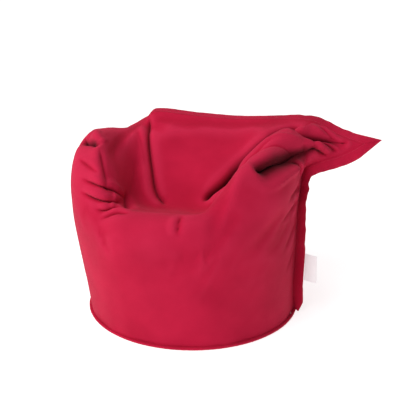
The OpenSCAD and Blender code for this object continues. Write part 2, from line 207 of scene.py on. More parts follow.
class Folds:
    """Adds up the folds pressed into a panel, as heights over its plain surface and sideways leans."""

    def __init__(self, plain):
        self.plain = plain
        self.flat = plain.reshape(-1, 3)
        self.normal = outwards(plain).reshape(-1, 3)
        self.push = np.zeros(len(self.flat))
        self.lean = np.zeros_like(self.flat)

    def nearest(self, path, reach):
        """For each point in reach of the path: distance, share along it, signed distance, left."""
        size = len(self.flat)
        best, across = np.full(size, 1e9), np.zeros((size, 3))
        along, signed = np.zeros((2, size))
        start = distances(path)
        lengths = np.diff(start)
        near = ((self.flat > path.min(0) - reach) & (self.flat < path.max(0) + reach)).all(1)
        ids = np.where(near)[0]
        for k, (a, ab) in enumerate(zip(path, np.diff(path, axis=0))):
            t = np.clip(((self.flat[ids] - a) @ ab) / (ab @ ab), 0, 1)
            away = self.flat[ids] - (a + t[:, None] * ab)
            d = np.linalg.norm(away, axis=1)
            left = np.cross(self.normal[ids], ab / lengths[k])
            closer = d < best[ids]
            chosen = ids[closer]
            best[chosen] = d[closer]
            along[chosen] = (start[k] + t[closer] * lengths[k]) / start[-1]
            signed[chosen] = (away[closer] * left[closer]).sum(1)
            across[chosen] = left[closer]
        return best, along, signed, across

    def press(self, line, depth, width, ridge=0.0, side=1, lean=0.0, ends=0.35):
        """Presses one fold along line, given as (column, row) points of the cage.

        depth: how deep the fold runs, and width: how wide, in mm. ridge: height of the roll of
        cloth on one side of it, and lean: how far that roll hangs over it. side is 1 for the left
        of the line's direction as seen from outside, -1 for the right. ends is the share of the
        line over which each end fades out.
        """
        path = np.array([at(self.plain, u, v) for u, v in spline(line, 6)])
        w = width * MM
        reach = 7 * w
        best, along, signed, across = self.nearest(path, reach)
        beyond = np.sqrt(np.maximum(best ** 2 - signed ** 2, 0))     # past the line's ends
        fade = eased(np.minimum(along, 1 - along) / ends) * bell(beyond / (1.5 * w)) * (best < reach)
        s = side * signed / w
        push = -depth * np.exp(-abs(s) ** 1.25) + ridge * bell((s - 2.6) / 1.9)
        tilt = -lean * bell((s - 1.4) / 1.1)
        self.push += push * fade * MM
        self.lean += side * across * (tilt * fade * MM)[:, None]

    def pressed(self, room, share):
        """The folded panel: kept clear of the other panel, and still at its seams."""
        allowed = np.minimum(share * room - CLEAR, 0.7 * hollow_radius(self.plain))
        allowed = np.maximum(allowed, 0).ravel()
        excess = np.clip(-self.push - allowed, 0, None).reshape(room.shape)
        push = (self.push + smoothed(excess[..., None], 5).ravel()).reshape(room.shape)
        i, j = np.meshgrid(np.arange(NU + 1), np.arange(NV + 1), indexing="ij")
        free = eased(np.minimum(np.minimum(i, NU - i), NV - j) / SEAM_CELLS)[..., None]
        n = self.normal.reshape(self.plain.shape)
        return self.plain + free * (n * push[..., None] + self.lean.reshape(self.plain.shape))


def front_folds(press):
    # Left arm: the slit at its top, the collapsed end behind it, and the creases across its face
    press([(1.3, 5.3), (1.62, 5.5), (2.1, 5.72), (2.56, 5.86), (3.0, 5.94)],
          54, 13, ridge=17, lean=9, ends=0.15)
    press([(2.95, 5.9), (3.1, 5.5), (3.2, 5.1), (3.3, 4.7)], 9, 10, ridge=6, side=-1, ends=0.3)
    press([(2.0, 4.95), (2.6, 5.1), (3.0, 5.2)], 7, 6, ridge=3)
    press([(2.3, 4.5), (2.9, 4.85), (3.5, 5.15), (4.1, 5.35)], 17, 6, ridge=6, lean=3)
    press([(2.35, 4.1), (2.9, 4.35), (3.5, 4.65), (4.1, 4.85)], 17, 6, ridge=7, lean=3)
    press([(2.9, 3.95), (3.4, 4.1), (3.9, 4.3), (4.4, 4.45)], 14, 6, ridge=5, lean=2)
    press([(3.2, 3.55), (3.8, 3.75), (4.4, 3.95), (5.1, 4.0)], 11, 7, ridge=3)
    press([(3.9, 5.7), (4.15, 5.2), (4.4, 4.8), (4.8, 4.45)], 12, 11, ridge=4)
    # Where the backrest's edge stands forward of the left arm's inner side
    press([(4.42, 8.0), (4.75, 7.15), (5.0, 6.65), (5.25, 6.2), (5.65, 5.85)],
          17, 9, ridge=7, side=-1, lean=3, ends=0.1)
    press([(3.6, 7.7), (4.0, 7.25), (4.45, 6.9), (4.85, 6.5)], 4, 12, ridge=2, side=-1, ends=0.3)
    # Faint lines in the seat, and the pucker in the front below it
    press([(5.0, 4.3), (5.7, 4.6), (6.4, 4.6), (7.2, 4.3)], 4, 9, ridge=2, side=-1)
    press([(6.45, 4.25), (6.45, 3.85), (6.5, 3.5), (6.55, 3.2)], 7, 7, ridge=4, side=-1)
    # Where the backrest runs in behind the right arm, up to the pointed fold
    press([(6.6, 6.1), (7.06, 6.35), (7.5, 6.5), (8.3, 6.75), (9.06, 6.8), (9.5, 6.9), (9.81, 7.2),
           (10.06, 7.6)], 58, 12, ridge=13, side=-1, lean=11, ends=0.12)
    # The top fold of the ear, and the dark valley between it and the roll of cloth below
    press([(9.95, 7.45), (10.25, 7.0), (10.7, 6.95), (11.05, 7.1), (11.4, 7.4), (11.75, 7.8)],
          54, 13, ridge=17, lean=7, ends=0.12)
    press([(9.3, 6.95), (9.65, 7.1), (9.95, 7.3), (10.2, 7.55)], 26, 12, ends=0.3)
    # The roll itself
    press([(9.2, 6.2), (9.8, 6.3), (10.5, 6.3), (11.1, 6.55), (11.6, 7.1)], -16, 17, ends=0.3)
    # The pocket under the ear, with the roll hanging over it and the shoulder's lip below
    press([(9.3, 4.68), (9.94, 4.88), (10.38, 5.16), (10.62, 5.42), (10.88, 5.68), (11.15, 5.92),
           (11.5, 6.15)], 100, 24, ridge=22, lean=8, ends=0.14)
    press([(9.5, 4.2), (10.1, 4.32), (10.6, 4.55), (11.1, 4.85), (11.6, 5.2)], -13, 10)
    press([(9.4, 5.75), (10.1, 5.85), (10.7, 6.0), (11.1, 6.1)], 11, 6, ridge=5, lean=3)
    # Folds that run out along the ear and down its near edge
    press([(10.56, 6.4), (11.15, 5.95), (11.6, 6.2), (12.0, 6.5)], 24, 8, ridge=9, lean=3, ends=0.2)
    press([(11.0, 6.6), (11.4, 6.7), (11.95, 6.95)], 15, 6, ridge=6, ends=0.25)
    press([(10.3, 7.75), (10.8, 7.65), (11.4, 7.72)], 9, 6, ridge=4, side=-1)
    press([(10.7, 5.05), (11.1, 5.0), (11.5, 4.8), (11.75, 4.4)], 14, 6, ridge=8)
    # Faint pulls out of the right side seam
    press([(11.95, 3.6), (11.2, 3.4), (10.5, 3.1)], 6, 9, ridge=2)
    press([(11.95, 2.8), (11.3, 2.5), (10.8, 2.2)], 5, 9, ridge=2)
    press([(11.95, 2.1), (11.4, 1.8), (11.0, 1.6)], 4, 9)
    press([(11.95, 4.1), (11.3, 4.0), (10.6, 3.75)], 9, 9, ridge=4)


def back_folds(press):
    # Where the ear's loose cloth hangs in behind, and the left corner is folded over
    press([(0.3, 6.6), (0.9, 6.3), (1.6, 6.2), (2.3, 6.5)], 20, 10, ridge=8, lean=3, ends=0.3)
    press([(0.4, 7.3), (1.0, 7.15), (1.8, 7.2), (2.6, 7.45)], 15, 9, ridge=6, ends=0.3)
    press([(0.15, 5.7), (0.6, 5.5), (1.2, 5.3)], 14, 9, ridge=5, ends=0.3)
    press([(0.6, 5.0), (1.2, 4.7), (1.9, 4.6)], 8, 10, ridge=3)
    press([(11.7, 6.6), (11.2, 6.3), (10.5, 6.2), (9.8, 6.5)], 16, 9, ridge=6, side=-1, ends=0.3)
    press([(11.8, 5.6), (11.2, 5.3), (10.6, 5.0)], 12, 9, ridge=4, side=-1, ends=0.3)
    press([(11.6, 7.3), (11.0, 7.1), (10.3, 7.2)], 11, 9, ridge=4, side=-1, ends=0.3)
    # Long slack folds across the shoulder, and faint pulls down from the top seam
    press([(3.2, 5.2), (4.6, 4.9), (6.2, 4.85), (7.8, 5.0)], 8, 16, ridge=4, ends=0.4)
    press([(4.6, 5.9), (5.8, 5.6), (7.2, 5.7)], 5, 16, ridge=3, ends=0.4)
    for u in (3.1, 4.2, 5.7, 6.6, 8.1, 9.2):
        press([(u, 7.95), (u + 0.08, 7.5), (u + 0.02, 7.05)], 4, 11, ends=0.5)


def room_inside(grid, other):
    """How far each point of one panel is from the other panel."""
    tree = KDTree(other[..., 0].size)
    for k, p in enumerate(other.reshape(-1, 3)):
        tree.insert(p, k)
    tree.balance()
    return np.array([tree.find(p)[2] for p in grid.reshape(-1, 3)]).reshape(grid.shape[:2])


def folded(plain, other, share, add_folds):
    """A panel with its folds, which reach at most that share of the way to the other panel."""
    folds = Folds(plain)
    add_folds(folds.press)
    return folds.pressed(room_inside(plain, other), share)


# ---- Cloth simulation: the cover settles round its filling ----
SIM_FRAMES = 20
SIM_CAP = 12 * MM
SIM_STRIDE = 2      # the simulation runs on every second point of the mesh
HOLD = 0.03         # how firmly the beads hold the cloth where it is slack
TAUT = 0.12         # and how much more in the front, below the seat
CLOTH = {"quality": 6, "mass": 0.15, "tension_stiffness": 30, "compression_stiffness": 30,
         "shear_stiffness": 8, "bending_stiffness": 0.35, "tension_damping": 10,
         "compression_damping": 10, "bending_damping": 1, "air_damping": 2,
         "vertex_group_mass": "hold", "pin_stiffness": 1.0, "use_pressure": True,
         "uniform_pressure_force": 1.5, "vertex_group_shrink": "grow",
         "shrink_min": 0.0, "shrink_max": -0.07}


def quads(index):
    """The quads of a grid of point numbers."""
    corners = [index[:-1, :-1], index[1:, :-1], index[1:, 1:], index[:-1, 1:]]
    return np.stack(corners, -1).reshape(-1, 4).tolist()


def tube_mesh(front, back):
    """Both panels as one ring of columns, with the side seams and the top seam sewn."""
    nu, nv = front.shape[:2]
    front_index = np.arange(nu * nv).reshape(nu, nv)
    back_index = front_index[::-1].copy()
    inside = (nu - 2) * (nv - 1)
    back_index[1:-1, :-1] = nu * nv + np.arange(inside).reshape(nu - 2, nv - 1)
    verts = np.concatenate([front.reshape(-1, 3), back[1:-1, :-1].reshape(-1, 3)])
    return verts, quads(front_index) + quads(back_index), front_index, back_index


def add_object(name, data):
    obj = bpy.data.objects.new(name, data)
    bpy.context.scene.collection.objects.link(obj)
    return obj


def add_weights(obj, name, weights):
    group = obj.vertex_groups.new(name=name)
    for k in np.nonzero(weights > 0.001)[0]:
        group.add([int(k)], float(weights[k]), "REPLACE")


def simulate(verts, faces, growth, hold):
    """Blender's cloth, with pressure and no gravity; returns the moved points."""
    mesh = bpy.data.meshes.new("settling")
    mesh.from_pydata(verts.tolist(), [], faces)
    obj = add_object("settling", mesh)
    add_weights(obj, "hold", hold)
    add_weights(obj, "grow", growth)
    cloth = obj.modifiers.new("cloth", "CLOTH")
    for key, value in CLOTH.items():
        setattr(cloth.settings, key, value)
    cloth.settings.effector_weights.gravity = 0
    cloth.collision_settings.use_collision = False
    cloth.point_cache.frame_end = SIM_FRAMES
    scene = bpy.context.scene
    for f in range(1, SIM_FRAMES + 1):
        scene.frame_set(f)
    done = obj.evaluated_get(bpy.context.evaluated_depsgraph_get())
    moved = np.empty(len(verts) * 3)
    done.data.vertices.foreach_get("co", moved)
    scene.frame_set(1)
    bpy.data.objects.remove(obj)
    return moved.reshape(-1, 3)


def spot(u, v, u0, v0, ru, rv):
    """1 at one place of the cage, fading to 0 round it."""
    return bell((u - u0) / ru) * bell((v - v0) / rv)


def cage_places(nu, nv):
    """The cage column and row of each point of a mesh."""
    return np.meshgrid(np.linspace(0, LAST_COL, nu), np.linspace(0, LAST_ROW, nv), indexing="ij")


def cloth_maps(u, v):
    """How much each point of the cloth may grow, and how firmly it is held, from 0 to 1."""
    edge = np.minimum(np.minimum(u, LAST_COL - u), np.minimum(v, LAST_ROW - v)) / 0.3
    edge = np.clip(edge, 0, 1)
    grow_front = (0.05 + 0.7 * spot(u, v, 3.2, 5.0, 1.3, 1.2) + 0.45 * spot(u, v, 10.8, 6.2, 1.4, 1.4)
                  + 0.3 * spot(u, v, 11.5, 2.8, 0.8, 1.5))
    grow_back = (0.2 + 0.7 * spot(u, v, 1.2, 6.5, 1.5, 1.5) + 0.7 * spot(u, v, 11.0, 5.8, 1.5, 1.8)
                 + 0.4 * spot(u, v, 6, 4.6, 5.0, 1.0))
    taut = HOLD + TAUT * np.clip(3.8 - v, 0, 1)
    maps = ((grow_front, taut), (grow_back, HOLD))
    return [(np.clip(grow * edge, 0, 1), np.clip(held + 1 - edge, 0, 1)) for grow, held in maps]


def settle(front, back):
    """Runs the simulation on a coarser copy and gives its moves to both panels."""
    f0, b0 = front[::SIM_STRIDE, ::SIM_STRIDE], back[::SIM_STRIDE, ::SIM_STRIDE]
    verts, faces, fi, bi = tube_mesh(f0, b0)
    growth, hold = np.zeros((2, len(verts)))
    u, v = cage_places(*f0.shape[:2])
    (grow_f, hold_f), (grow_b, hold_b) = cloth_maps(u, v)
    growth[bi], hold[bi] = grow_b, hold_b
    growth[fi], hold[fi] = grow_f, hold_f
    move = simulate(verts, faces, growth, hold) - verts
    length = np.linalg.norm(move, axis=1, keepdims=True)
    print("cloth moved mean %.1f mm, most %.1f mm" % (length.mean() / MM, length.max() / MM))
    move *= np.minimum(1, SIM_CAP / np.maximum(length, 1e-9))
    # The front below the seat stays smooth
    calm = 1 - 0.8 * spot(u, v, 6.0, 3.9, 3.2, 0.9)[..., None]
    move_front, move_back = smoothed(move[fi] * calm, 2), smoothed(move[bi], 2)
    return front + finer(move_front, SIM_STRIDE), back + finer(move_back, SIM_STRIDE)


front_plain = smoothed(finer(front_cage, STEPS) * MM, SMOOTH_ROUNDS)
back_plain = smoothed(finer(back_cage, STEPS) * MM, SMOOTH_ROUNDS)
front_plain, back_plain = settle(front_plain, back_plain)
front = folded(front_plain, back_plain, FRONT_SHARE, front_folds)
back = folded(back_plain, front_plain, BACK_SHARE, back_folds)


# ---- Meshes ----
SHARP = math.radians(50)


def new_object(name, verts, faces, material):
    mesh = bpy.data.meshes.new(name)
    mesh.from_pydata(np.asarray(verts, float).tolist(), [], faces)
    mesh.update()
    mesh.shade_smooth()
    mesh.set_sharp_from_angle(angle=SHARP)
    mesh.materials.append(material)
    return add_object(name, mesh)


def piece(obj, slot, *nodes, body="bag"):
    """Says which CAD nodes a piece stands for, which it hides, and what it rides on; slot, the finish
    it takes, is not used.
    """
    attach(obj, body)
    if nodes:
        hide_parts(*nodes)


def set_attribute(obj, name, values):
    """Gives a value, or three, to each point of a mesh."""
    kind, key = ("FLOAT_VECTOR", "vector") if name == "cloth" else ("FLOAT", "value")
    layer = obj.data.attributes.new(name, kind, "POINT")
    layer.data.foreach_set(key, np.asarray(values, np.float32).ravel())


def pairs_round(loop):
    """Each number of a closed loop, with the one after it."""
    return zip(loop, loop[1:] + loop[:1])


def shell_faces(nu, nv):
    """A grid's outer and inner faces, with the rim between them."""
    size = nu * nv
    k = np.arange(size).reshape(nu, nv)
    outer = quads(k)
    inner = [[c + size for c in reversed(f)] for f in outer]
    loop = [int(c) for c in [*k[:, 0], *k[-1, 1:], *k[-2::-1, -1], *k[0, -2:0:-1]]]
    rim = [[b, a, a + size, b + size] for a, b in pairs_round(loop)]
    return outer + inner + rim


def cloth_lengths(grid):
    """Distance along the cloth both ways, in metres, for the weave to follow."""
    nu, nv = grid.shape[:2]
    u = distances(grid[:, nv // 3])
    v = np.cumsum(np.linalg.norm(np.diff(grid, axis=1), axis=2), axis=1)
    v = np.concatenate([np.zeros((nu, 1)), v], 1)
    return np.stack([np.repeat(u[:, None], nv, 1), v, 0 * v], 2).reshape(-1, 3)


WEAR_AND_SHADE_ROUNDS = 37
WEAR_AND_SHADE_HEIGHT = 2.0 * MM      # how far a fully worn ridge stands over the cloth round it, and how deep a fold lies for full painted shade


def wear_and_shade_of(grid, n):
    """About 1 on a sharp ridge of cloth, which is paler from wear, -1 deep in a fold, which gets
    painted shade, and 0 where it lies flat.
    """
    over = ((grid - smoothed(grid, WEAR_AND_SHADE_ROUNDS)) * n).sum(2)
    return np.clip(over / WEAR_AND_SHADE_HEIGHT, -1, 1)


def shell(name, grid, thick, material, n=None, wear_and_shade=None, centred=False, painted_shade=None):
    """A sheet of cloth between its inner and outer face. thick is one number or one per point."""
    n = normals(grid) if n is None else n
    thick = np.broadcast_to(thick, grid.shape[:2])[..., None]
    outer = grid + n * thick * (0.5 if centred else 1.0)
    inner = grid - n * thick * (0.5 if centred else 0.0)
    nu, nv = grid.shape[:2]
    verts = np.concatenate([outer.reshape(-1, 3), inner.reshape(-1, 3)])
    obj = new_object(name, verts, shell_faces(nu, nv), material)
    wear_and_shade = wear_and_shade_of(grid, n) if wear_and_shade is None else wear_and_shade
    for key, values in (("cloth", cloth_lengths(grid)), ("wear_and_shade", wear_and_shade), ("painted_shade", painted_shade)):
        if values is not None:
            set_attribute(obj, key, np.concatenate([values, values]))
    return obj


def tube_faces(rings, sides, closed=False, first=0):
    """Faces of a tube whose rings of points follow each other from number first on."""
    faces = []
    for r in range(rings if closed else rings - 1):
        a, b = first + r * sides, first + (r + 1) % rings * sides
        for k in range(sides):
            ahead = (k + 1) % sides
            faces.append([a + k, b + k, b + ahead, a + ahead])
    if not closed:
        end = first + (rings - 1) * sides
        faces.append(list(range(first, first + sides)))
        faces.append(list(range(end, end + sides))[::-1])
    return faces


def tube(name, path, radius, material, sides=8, closed=False, section=None):
    """A tube round a path; section gives other points (outwards, upwards) in place of a circle."""
    if closed:
        along = unit(np.roll(path, -1, axis=0) - np.roll(path, 1, axis=0))
    else:
        along = unit(np.gradient(path, axis=0))
    side = unit(np.cross(along, np.array([0, 0, 1.0]) + 1e-4))
    up = np.cross(side, along)
    section = circle(sides) if section is None else section
    r = np.broadcast_to(radius, (len(path),))[:, None, None]
    outwards_by, upwards_by = section[None, :, :1], section[None, :, 1:]
    rings = path[:, None] + r * (outwards_by * side[:, None] + upwards_by * up[:, None])
    faces = tube_faces(len(path), len(section), closed)
    return new_object(name, rings.reshape(-1, 3), faces, material)


def resampled(path, pitch):
    """Points a fixed pitch apart along a path, with the directions there."""
    s = distances(path)
    t = np.arange(pitch / 2, s[-1], pitch)
    return between(t, s, path), unit(between(t + pitch / 4, s, path) - between(t - pitch / 4, s, path))


STITCH = 3.2 * MM
STITCH_PITCH = 4.4 * MM
THREAD_R = 0.4 * MM
STITCH_SIDES = 5
# A stitch's rings: how far along it, and how thick there
STITCH_RINGS = [(-0.5, 0.35), (-0.3, 0.95), (0.3, 0.95), (0.5, 0.35)]


def stitches(name, runs, material, pitch=STITCH_PITCH, radius=THREAD_R):
    """One small bead of thread for each stitch along the runs, which are (path, normal) pairs."""
    verts, faces = [], []
    cos, sin = circle(STITCH_SIDES).T[..., None]
    for path, normal in runs:
        q, along = resampled(path, pitch)
        side = unit(np.cross(along, np.broadcast_to(normal, along.shape)))
        up = np.cross(side, along)
        for c, a, s, w in zip(q, along, side, up):
            faces += tube_faces(len(STITCH_RINGS), STITCH_SIDES, first=len(verts) * STITCH_SIDES)
            for shift, wide in STITCH_RINGS:
                ring = (cos * s + 0.6 * sin * w) * radius * wide
                verts.append(c + a * shift * STITCH + ring)
    return new_object(name, np.concatenate(verts), faces, material)


# ---- Materials ----
class Nodes:
    """Short ways to add and link shader nodes. A value is a number, a colour or another socket."""

    def __init__(self, name, roughness, specular=0.3):
        self.mat = bpy.data.materials.new(name)
        self.mat.use_nodes = True
        self.tree = self.mat.node_tree
        self.tree.nodes.clear()
        out = self.add("OutputMaterial")
        self.bsdf = self.add("BsdfPrincipled")
        self.fill(out.inputs[0], self.bsdf.outputs[0])
        self.set("Roughness", roughness)
        self.set("Specular IOR Level", specular)

    def fill(self, socket, value):
        if isinstance(value, bpy.types.NodeSocket):
            self.tree.links.new(value, socket)
        else:
            socket.default_value = (*value, 1) if socket.type == "RGBA" else value

    def set(self, socket, value):
        self.fill(self.bsdf.inputs[socket], value)

    def add(self, kind, inputs=(), **props):
        node = self.tree.nodes.new("ShaderNode" + kind)
        for key, value in props.items():
            setattr(node, key, value)
        for key, value in dict(inputs).items():
            self.fill(node.inputs[key], value)
        return node

    def math(self, op, a, b=None):
        inputs = {0: a} if b is None else {0: a, 1: b}
        return self.add("Math", inputs, operation=op).outputs[0]

    def attribute(self, name, output="Fac"):
        return self.add("Attribute", attribute_name=name).outputs[output]

    def place(self):
        return self.add("TexCoord").outputs["Object"]

    def axes(self, place):
        return self.add("SeparateXYZ", {0: place}).outputs

    def noise(self, place, scale, detail=2.0):
        return self.add("TexNoise", {"Scale": scale, "Detail": detail, "Vector": place}).outputs["Fac"]

    def remap(self, value, low, high, to_low=0.0, to_high=1.0):
        inputs = {"Value": value, "From Min": low, "From Max": high, "To Min": to_low,
                  "To Max": to_high}
        return self.add("MapRange", inputs).outputs["Result"]

    def mix(self, factor, a, b, blend="MIX"):
        """Colour a, turning to b."""
        inputs = {0: factor, 6: a, 7: b}        # 6 and 7 are the colours, of all a Mix node's sockets
        return self.add("Mix", inputs, data_type="RGBA", blend_type=blend).outputs[2]

    def wave(self, axis, pitch):
        return self.math("SINE", self.math("MULTIPLY", axis, 2 * math.pi / pitch))

    def weave(self, place, pitch, twill=0.0):
        """Threads both ways; twill slants the rows."""
        axes = self.axes(place)
        across = axes[0]
        if twill:
            across = self.math("ADD", axes[0], self.math("MULTIPLY", axes[1], twill))
        return self.math("MULTIPLY", self.wave(across, pitch), self.wave(axes[1], pitch))

    def finish(self, colour, height, strength, depth):
        """Sets the colour and the bump, whose depth is in metres."""
        self.set("Base Color", colour)
        inputs = {"Strength": strength, "Distance": depth, "Height": height}
        self.set("Normal", self.add("Bump", inputs).outputs[0])
        return self.mat


CRIMSON = (0.56, 0.009, 0.049)
CRIMSON_DARK = (0.46, 0.005, 0.036)
CRIMSON_WORN = (0.66, 0.026, 0.085)
CRIMSON_FOLD_SHADE = (0.36, 0.001, 0.018)
CRIMSON_PAINTED_SHADE = (0.09, 0.0, 0.004)


def cover_material():
    """Heavy cotton blend: close twill, slubs, uneven dye, paler worn ridges and painted shade in its
    folds.
    """
    m = Nodes("cover_cloth", 0.85, 0.1)
    m.set("Sheen Weight", 0.06)
    m.set("Sheen Roughness", 0.5)
    m.set("Sheen Tint", (1.0, 0.6, 0.68))
    cloth = m.attribute("cloth", "Vector")
    weave = m.weave(cloth, 0.0011, 0.5)
    slub = m.noise(cloth, 420, 3)
    dye = m.remap(m.noise(m.place(), 7, 5), 0.3, 0.65)
    colour = m.mix(dye, CRIMSON_DARK, CRIMSON)
    wear_and_shade = m.attribute("wear_and_shade")
    # Paler on ridges from wear, and painted shade deep in the folds.
    colour = m.mix(m.remap(wear_and_shade, 0.1, 1.2, 0, 0.5), colour, CRIMSON_WORN)
    colour = m.mix(m.remap(wear_and_shade, -0.1, -1.0, 0, 0.35), colour, CRIMSON_FOLD_SHADE)
    # Painted shade: the deeper a fold is pressed in, the darker the cloth is coloured.
    painted_shade = m.attribute("painted_shade")
    colour = m.mix(m.remap(painted_shade, 0.0, 1.0, 0, 0.92), colour, CRIMSON_PAINTED_SHADE)
    fleck = m.remap(slub, 0.3, 0.7, 0.72, 1.12)
    colour = m.mix(0.4, colour, fleck, "MULTIPLY")
    crumple = m.noise(cloth, 38, 4)
    height = m.math("ADD", m.math("ADD", m.math("MULTIPLY", weave, 0.35), slub),
                    m.math("MULTIPLY", crumple, 2.2))
    return m.finish(colour, height, 0.42, 0.0007)


def thread_material(name, colour, dark):
    m = Nodes(name, 0.45, 0.4)
    m.set("Sheen Weight", 0.2)
    ply = m.noise(m.place(), 1400, 2)
    return m.finish(m.mix(ply, dark, colour), ply, 0.4, 0.0003)


def tape_material(name, colour, dark, pitch=0.0009):
    """Narrow woven tape with a herringbone."""
    m = Nodes(name, 0.75, 0.3)
    m.set("Sheen Weight", 0.15)
    place = m.place()
    axes = m.axes(place)
    bone = m.math("ABSOLUTE", m.wave(axes[1], pitch * 6))
    rows = m.wave(m.math("ADD", axes[0], m.math("MULTIPLY", bone, pitch)), pitch)
    height = m.math("ADD", rows, m.noise(place, 900, 3))
    # Painted shade: darker where the woven rows sink.
    colour = m.mix(m.remap(height, -0.5, 1.5), dark, colour)
    return m.finish(colour, height, 0.5, 0.0003)


def plastic_material(name, colour, dark):
    m = Nodes(name, 0.38, 0.5)
    mottle = m.noise(m.place(), 260, 3)
    return m.finish(m.mix(m.remap(mottle, 0.3, 0.7), dark, colour), mottle, 0.25, 0.0002)


def metal_material(name):
    """Plated zinc with fine drawn lines and a few scuffs."""
    m = Nodes(name, 0.3)
    m.set("Metallic", 1.0)
    place = m.place()
    stretch = m.add("Mapping", {"Scale": (90, 2600, 2600), "Vector": place})
    lines = m.noise(stretch.outputs[0], 1.0, 2)
    scuff = m.remap(m.noise(place, 700, 4), 0.5, 0.75)
    colour = m.mix(scuff, (0.62, 0.63, 0.65), (0.38, 0.38, 0.39))
    m.set("Roughness", m.remap(lines, 0.2, 0.8, 0.22, 0.45))
    return m.finish(colour, m.math("ADD", lines, scuff), 0.35, 0.0002)


def label_material():
    """White satin ribbon: fine ribs across it, a firm selvedge, faint greying and a faint glow of
    painted light.
    """
    m = Nodes("label_cloth", 0.42, 0.45)
    m.set("Emission Color", (0.93, 0.95, 1))      # painted light: a faint glow that brightens the label in the bag's shade
    m.set("Emission Strength", 0.16)
    m.set("Sheen Weight", 0.25)
    m.set("Sheen Roughness", 0.3)
    cloth = m.attribute("cloth", "Vector")
    axes = m.axes(cloth)
    ribs = m.wave(axes[1], 0.0007)
    warp = m.wave(axes[0], 0.0004)
    grey = m.remap(m.noise(cloth, 60, 4), 0.35, 0.75)
    colour = m.mix(grey, (1.0, 1.0, 1.0), (0.95, 0.95, 0.97))
    # On the label this attribute marks only its greyer selvedge.
    selvedge = m.attribute("wear_and_shade")
    colour = m.mix(m.remap(selvedge, 0.4, 1.0, 0, 0.5), colour, (0.74, 0.75, 0.78))
    height = m.math("ADD", ribs, m.math("MULTIPLY", warp, 0.4))
    return m.finish(colour, height, 0.3, 0.0002)


def liner_material():
    """Thin spun-bonded cloth: a grid of weld points over tangled fibres."""
    m = Nodes("liner_cloth", 0.7, 0.3)
    place = m.place()
    points = m.weave(place, 0.0032)
    fibre = m.noise(place, 520, 5)
    colour = m.mix(m.remap(fibre, 0.3, 0.7), (0.78, 0.78, 0.76), (0.92, 0.92, 0.90))
    height = m.math("ADD", m.math("MULTIPLY", m.remap(points, 0.5, 1.0), -1.0), fibre)
    return m.finish(colour, height, 0.5, 0.0004)


def bead_material():
    """Expanded polystyrene beads about 4 mm across."""
    m = Nodes("beads", 0.55, 0.4)
    near = m.add("TexVoronoi", {"Scale": 240, "Vector": m.place()}).outputs["Distance"]
    # Painted shade: grey at each bead's rim, where the beads meet.
    colour = m.mix(m.remap(near, 0.25, 0.7), (0.95, 0.95, 0.95), (0.62, 0.62, 0.64))
    return m.finish(colour, m.math("MULTIPLY", near, -1.0), 1.0, 0.002)


CORD_R = 0.36669        # metres; a whole number of plies goes round the base
CORD_PLY = 0.006


def cord_material():
    """Twisted cotton: plies that slant round the cord."""
    m = Nodes("cord_cotton", 0.85, 0.2)
    place = m.place()
    axes = m.axes(place)
    round_base = m.math("MULTIPLY", m.math("ARCTAN2", axes[1], axes[0]), CORD_R)
    turn = m.math("ADD", round_base, axes[2])
    plies = m.wave(turn, CORD_PLY)
    height = m.math("ADD", plies, m.noise(place, 800, 3))
    # Painted shade: darker in the grooves between the plies.
    colour = m.mix(m.remap(plies, -1.0, 1.0), (0.62, 0.58, 0.50), (0.86, 0.83, 0.76))
    return m.finish(colour, height, 0.6, 0.0005)


# ---- Cover ----
CLOTH_T = 1.2 * MM
FLANGE_T = 2.4 * MM
FLANGE_W = 40 * MM
SHADE_FROM = 3 * MM     # a fold's depth where the painted shade starts
SHADE_OVER = 20 * MM    # and how much deeper it is where the painted shade is darkest
cover_mat = cover_material()
thread_mat = thread_material("thread", (0.62, 0.03, 0.10), (0.42, 0.01, 0.05))


def add_panels():
    for name, grid, plain, node in (("cover_front", front, front_plain, "front_panel"),
                                    ("cover_back", back, back_plain, "back_panel")):
        # Painted shade: how deep each point is pressed in below the plain panel, to darken the cloth in
        # its folds.
        depth = -((grid - plain) * outwards(plain)).sum(2)
        painted_shade = np.clip((depth - SHADE_FROM) / SHADE_OVER, 0, 1)
        obj = shell(name, grid, CLOTH_T, cover_mat, painted_shade=painted_shade)
        piece(obj, "cover_cloth", node)


# Which way each flange leaves its seam, at the cage's rows or columns, as in part.scad
RIGHT_DIRS = [(0.9, -0.42, 0), (0.9, -0.42, 0), (0.88, -0.46, 0), (0.75, -0.66, 0), (0.72, -0.68, -0.1),
              (0.65, -0.58, -0.45), (0.5, -0.4, -0.77), (0.5, -0.4, -0.77), (0.5, -0.4, -0.77)]
LEFT_DIRS = [(-0.45, 0.89, 0), (-0.45, 0.89, 0), (-0.45, 0.89, 0), (-0.55, 0.82, 0),
             (-0.83, -0.1, 0.55), (-0.83, -0.1, 0.55), (-0.9, -0.1, 0.4), (-0.96, -0.2, 0.2),
             (-0.9, 0, -0.3)]
TOP_DIRS = [(0.2, 0.95, -0.1), (0.2, 0.95, -0.05), (0.1, 0.97, 0.1), (0, 0.97, 0.08), (0, 0.97, 0.2),
            (0, 0.97, 0.12), (0, 0.97, 0.1), (0, 0.97, 0.1), (0, 0.97, 0.08), (0, 0.96, 0.1),
            (0.15, 0.93, 0.25), (0.3, 0.85, 0.4), (0.3, 0.85, 0.4)]
RIGHT_CORNER = (66, 20, 14)
LEFT_CORNER = (-42, 40, -28)
RIGHT_FOOT = (17, -8, -12)      # the flange's lower end narrows and hangs lower at its free edge
MITRE = 1 / 3           # how far before its end, in cage steps, a flange turns into its corner
FLANGE_BOTTOM = 16 * MM
FLANGE_ROOT = 0.03      # the share of its width by which a flange reaches in behind its seam
FLANGE_ACROSS = 15      # points across a flange
STITCH_LINES = (0.16, 0.86)


